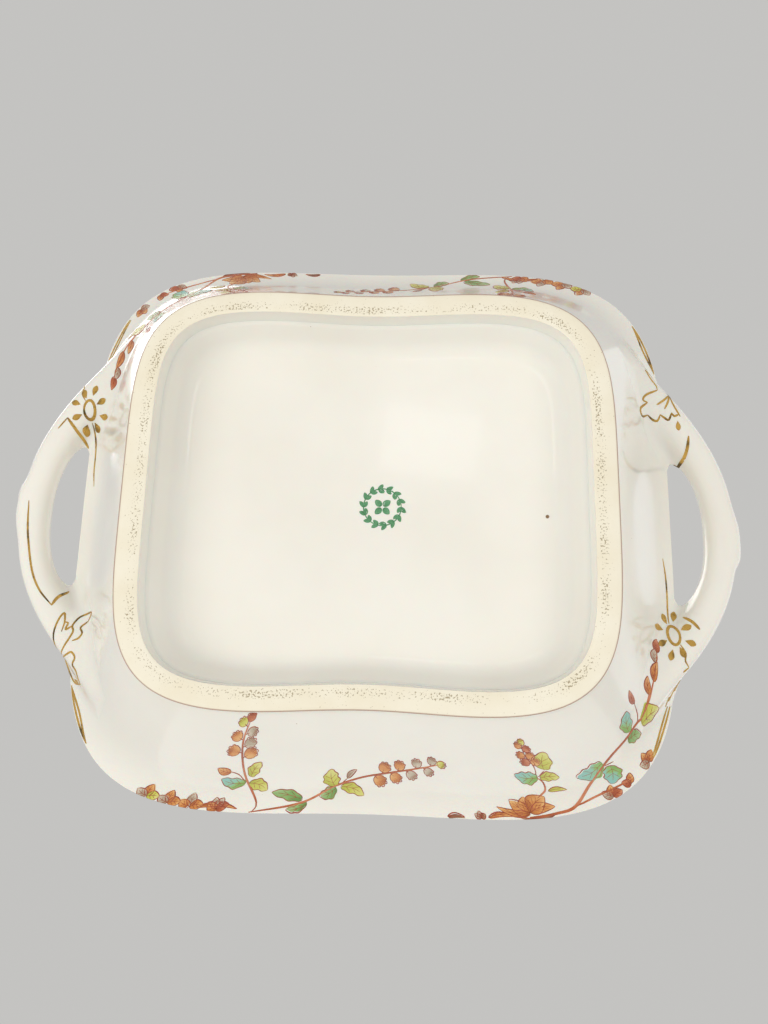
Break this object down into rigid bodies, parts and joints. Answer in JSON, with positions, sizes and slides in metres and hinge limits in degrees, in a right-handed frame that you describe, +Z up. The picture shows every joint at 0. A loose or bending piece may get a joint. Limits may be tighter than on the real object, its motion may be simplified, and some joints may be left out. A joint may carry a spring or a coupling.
{
  "type": "butter dish",
  "caption": "Covered porcelain butter dish: square handled base on a foot ring, pierced drainer and domed lid with a loop handle.",
  "frame": {"origin": "centre of the foot ring, on the surface the dish rests on", "axes": "+Z up, +X towards the right-hand side handle, +Y towards the front long side"},
  "size_m": [0.2004, 0.1526, 0.0917],
  "materials": {
    "glazed_porcelain": "clear gloss glaze over white porcelain",
    "unglazed_foot": "matt unglazed biscuit with dark specks",
    "enamel_print": "thin satin overglaze enamel in several colours",
    "gilding": "burnished gold, slightly worn"
  },
  "bodies": {
    "base": {"bowl": "glazed_porcelain", "foot_ring": "unglazed_foot", "handle_left": "glazed_porcelain", "handle_right": "glazed_porcelain"},
    "drainer": {"drainer": "glazed_porcelain"},
    "lid": {"lid": "glazed_porcelain", "lid_handle": "glazed_porcelain"}
  },
  "joints": [
    {"name": "drainer_lift", "type": "slide", "parent": "base", "child": "drainer", "axis": [0, 0, 1], "range_m": [0, 0.05]},
    {"name": "lid_lift", "type": "slide", "parent": "drainer", "child": "lid", "axis": [0, 0, 1], "range_m": [0, 0.12]}
  ]
}
